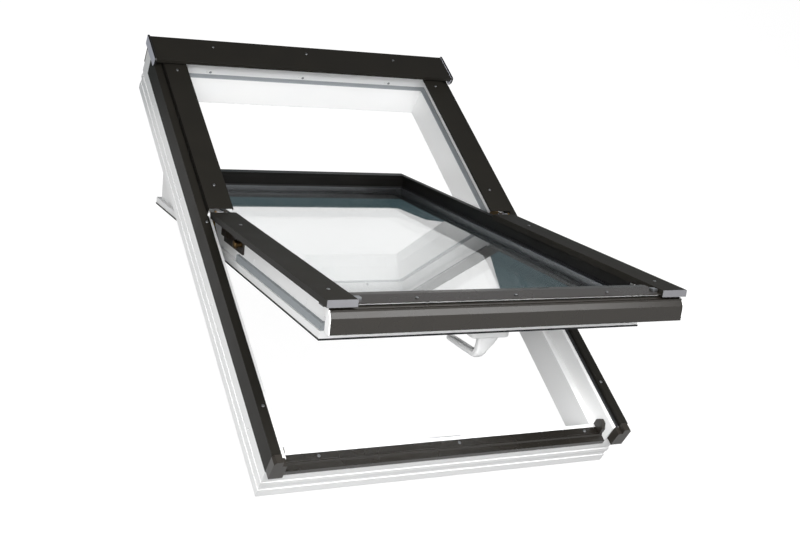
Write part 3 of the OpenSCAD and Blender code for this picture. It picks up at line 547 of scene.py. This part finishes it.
# Glass unit. Two panes of 4 mm float glass on an aluminium spacer, sealed in black and bedded
# in rubber. Float glass has a very weak cast and an almost flat, faintly wavy surface.
wave = 180.0
float_glass, tree = new_material("float_glass")
where = add(tree, "ShaderNodeTexCoord", {})
roll = add(tree, "ShaderNodeTexNoise", {"Vector": where.outputs["Object"], "Scale": MM_IN_M / wave})
skin = add(tree, "ShaderNodeBump", {"Height": roll.outputs[0], "Strength": 0.004, "Distance": 0.5 * MM})
body = add(tree, "ShaderNodeBsdfPrincipled", {"Base Color": paint("#F6F7F7"), "Roughness": 0.0, "IOR": 1.52,
                                              "Transmission Weight": 1.0, "Normal": skin.outputs[0]})
add(tree, "ShaderNodeOutputMaterial", {"Surface": body.outputs[0]})
dress(float_glass, "outer_pane", "inner_pane")
mill_finish = plated_steel("mill_finish_aluminium", "#9FA2A6", "#B9BCC0", 0.34)
dress(mill_finish, "spacer_bar")
dress(black_rubber, "edge_seal", "outer_glazing_gasket", "inner_glazing_gasket")

# Claddings of the sash. Near-black sheet round the glass, and umber covers on both stiles that end
# in pale plates. The near-black is partly painted shade: it also darkens the walls of the recess round
# the glass, where shade falls. The bead and the fascia on the nose are extruded and have the satin coat.
# Near-black coat, partly painted shade: it darkens the walls of the recess round the glass.
black_coat_and_recess_shade = powder_coat("black_coated_aluminium_and_painted_recess_shade", "#0B0B0A", "#100F0E", 0.4,
                         peel=1.5, peel_depth=0.015, shine=0.12)
white_cap = moulded("white_moulded_abs", "#E9E9E8", "#E4E5E6", 0.3, grain_depth=0.03)
pale_cap = moulded("pale_grey_moulded_abs", "#5E5E61", "#666669", 0.35, grain_depth=0.05)
dress(umber_coat, "left_lower_cover", "right_lower_cover")
dress(black_coat_and_recess_shade, "top_rail_cladding", "left_stile_cladding", "right_stile_cladding")
dress(satin_coat, "bottom_cladding", "bottom_fascia")
dress(white_cap, "fascia_end_caps")
dress(pale_cap, "cover_end_plates")
dress(black_nylon, "lower_cover_brackets")
dress(mill_finish, "corner_clips")

# Seals of the sash. A grey rubber strip lies along the ledge, and a black one wraps the outer corner
# of the ledge on the room side. Both are the extruded rubber of the frame's gaskets.
dress(grey_rubber, "sash_gaskets")
dress(black_rubber, "room_seal")

# Lock. A case and a bolt inside the bottom rail, and the spindle that the handle turns.
# All three are zinc plated steel, as the striker plate is.
dress(zinc_plate, "lock_case", "latch_bolt", "handle_spindle")

# Handle base. A white moulded ABS block with eased edges, fixed to the room side of the sash.
# Each of its rings has a height, half a width and half a depth, in millimetres.
handle_x, handle_y = 12.0, -513.0
base_bottom = 26.0
base_profile = ((42.0, 40.0, 14.0), (31.0, 40.0, 14.0), (28.2, 39.4, 13.6), (26.8, 37.6, 12.4),
                (base_bottom, 34.0, 10.0))
base_points = 64
base_squareness = 7


def rounded(across, deep, squareness, angles):
    def bulge(value):
        return math.copysign(abs(value) ** (2 / squareness), value)
    return [(across * bulge(math.cos(a)), deep * bulge(math.sin(a))) for a in angles]


even = [2 * math.pi * (k + 0.5) / base_points for k in range(base_points)]
base_rings = []
for z, across, deep in base_profile:
    outline = rounded(across, deep, base_squareness, even)
    base_rings.append([(handle_x + x, handle_y + y, z) for x, y in outline])
handle_base = lofted("handle_base", white_cap, base_rings)
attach(handle_base, "sash")
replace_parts(handle_base, "handle_base")

# Handle lever. One white ABS moulding: a broad neck sweeps down and over into the grip, which is
# hollowed by a long slot on the side towards the sash. Each station of the loft has its middle, the
# turn of its section in degrees, half a width and half a depth.
slot_from, slot_to, slot_depth, slot_share = -494.0, -410.0, 8.5, 0.56
slot_wall = 0.4
lever_gap = 0.3
bend = 10.0
grip_x = -4.0
lever_squareness = 3
stations = [(handle_x, handle_y, base_bottom - lever_gap, 0.0, 21.8, 9.6),
            (11.0, handle_y, 21.0, 0.0, 20.6, 9.8),
            (7.0, handle_y, 11.0, 0.0, 17.0, 9.6),
            (2.5, handle_y, 4.0, 0.0, 13.8, 9.2)]
for turn, x, across, deep in ((0.0, 0.5, 12.6, 8.8), (22.5, -1.5, 11.6, 8.2), (45.0, -2.8, 10.8, 7.4),
                              (67.5, -3.6, 10.3, 6.7), (90.0, grip_x, 10.0, 6.1)):
    a = math.radians(turn)
    stations.append((x, handle_y + bend * (1 - math.cos(a)), -bend * math.sin(a), turn, across, deep))
for y, across, deep in ((slot_from - slot_wall, 10.0, 6.0), (slot_from, 10.0, 6.0), (-470.0, 10.0, 6.0),
                        (-440.0, 9.8, 5.8), (slot_to, 9.2, 5.2), (slot_to + slot_wall, 9.2, 5.2),
                        (-404.5, 8.2, 4.4), (-402.2, 6.2, 3.2), (-401.2, 3.6, 1.8)):
    stations.append((grip_x, y, -bend, 90.0, across, deep))
edge = math.acos(slot_share ** (lever_squareness / 2))
lip = 0.03
near_enough = 0.001
slot_steps, rest_steps = 12, 40
over_slot = [edge + (math.pi - 2 * edge) * k / slot_steps for k in range(slot_steps + 1)]
round_rest = [math.pi - edge + lip + (math.pi + 2 * edge - 2 * lip) * k / rest_steps
              for k in range(1, rest_steps)]
angles = [edge - lip] + over_slot + [math.pi - edge + lip] + round_rest
lever_rings = []
for x, y, z, turn, across, deep in stations:
    a = math.radians(turn)
    ring = []
    for angle, (side, out) in zip(angles, rounded(across, deep, lever_squareness, angles)):
        if slot_from <= y <= slot_to and edge - near_enough <= angle <= math.pi - edge + near_enough:
            out = deep - slot_depth
        ring.append((x + side, y + out * math.cos(a), z + out * math.sin(a)))
    lever_rings.append(ring)
lever = lofted("handle_lever", white_cap, lever_rings)
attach(lever, "handle")
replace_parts(lever, "handle_lever")
